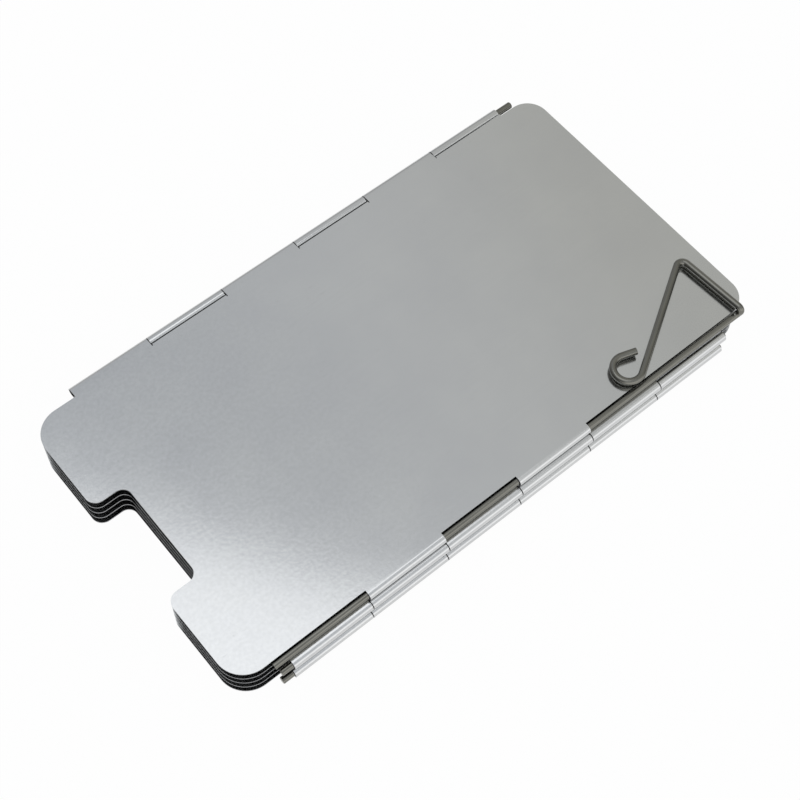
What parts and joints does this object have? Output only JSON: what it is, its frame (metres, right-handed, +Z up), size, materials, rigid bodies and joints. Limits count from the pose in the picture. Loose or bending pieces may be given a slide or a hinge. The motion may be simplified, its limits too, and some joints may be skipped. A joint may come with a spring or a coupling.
{
  "type": "folding stove windscreen",
  "caption": "Folding camping windscreen: notched aluminium panels hinged like an accordion on steel pins, with a sliding bent wire stake at each free edge, folded flat.",
  "frame": {"origin": "below the middle of the folded pack, at the level of the lowest point of the lower stake's handle", "axes": "+X along the hinge pins, from the notched end to the end with the handles; +Y to the side where the top panel is hinged; +Z up through the stack"},
  "size_m": [0.24, 0.134, 0.0249],
  "materials": {
    "panel_sheet": "bright mill sheet, lightly worn",
    "wire": "drawn wire, dull grey"
  },
  "bodies": {
    "bottom_panel": {"panel_5_bottom": "panel_sheet"},
    "fourth_panel": {"panel_4": "panel_sheet", "hinge_pin_4_5": "wire"},
    "middle_panel": {"panel_3_middle": "panel_sheet", "hinge_pin_3_4": "wire"},
    "second_panel": {"panel_2": "panel_sheet", "hinge_pin_2_3": "wire"},
    "top_panel": {"panel_1_top": "panel_sheet", "hinge_pin_1_2": "wire"},
    "upper_stake": {"stake_top": "wire"},
    "lower_stake": {"stake_bottom": "wire"}
  },
  "joints": [
    {"name": "fold_4_5", "type": "hinge", "parent": "bottom_panel", "child": "fourth_panel", "pos_m": [0, -0.06495, 0.00615], "axis": [1, 0, 0], "range_deg": [0, 180]},
    {"name": "fold_3_4", "type": "hinge", "parent": "fourth_panel", "child": "middle_panel", "pos_m": [0, 0.06495, 0.01035], "axis": [-1, 0, 0], "range_deg": [0, 180]},
    {"name": "fold_2_3", "type": "hinge", "parent": "middle_panel", "child": "second_panel", "pos_m": [0, -0.06495, 0.01455], "axis": [1, 0, 0], "range_deg": [0, 180]},
    {"name": "fold_1_2", "type": "hinge", "parent": "second_panel", "child": "top_panel", "pos_m": [0, 0.06495, 0.01875], "axis": [-1, 0, 0], "range_deg": [0, 180]},
    {"name": "upper_stake_slide", "type": "slide", "parent": "top_panel", "child": "upper_stake", "axis": [-1, 0, 0], "range_m": [0, 0.075]},
    {"name": "lower_stake_slide", "type": "slide", "parent": "bottom_panel", "child": "lower_stake", "axis": [-1, 0, 0], "range_m": [0, 0.075]}
  ],
  "couplings": [
    {"joint": "fold_3_4", "follows": "fold_4_5", "ratio": 1},
    {"joint": "fold_2_3", "follows": "fold_4_5", "ratio": 1},
    {"joint": "fold_1_2", "follows": "fold_4_5", "ratio": 1}
  ]
}
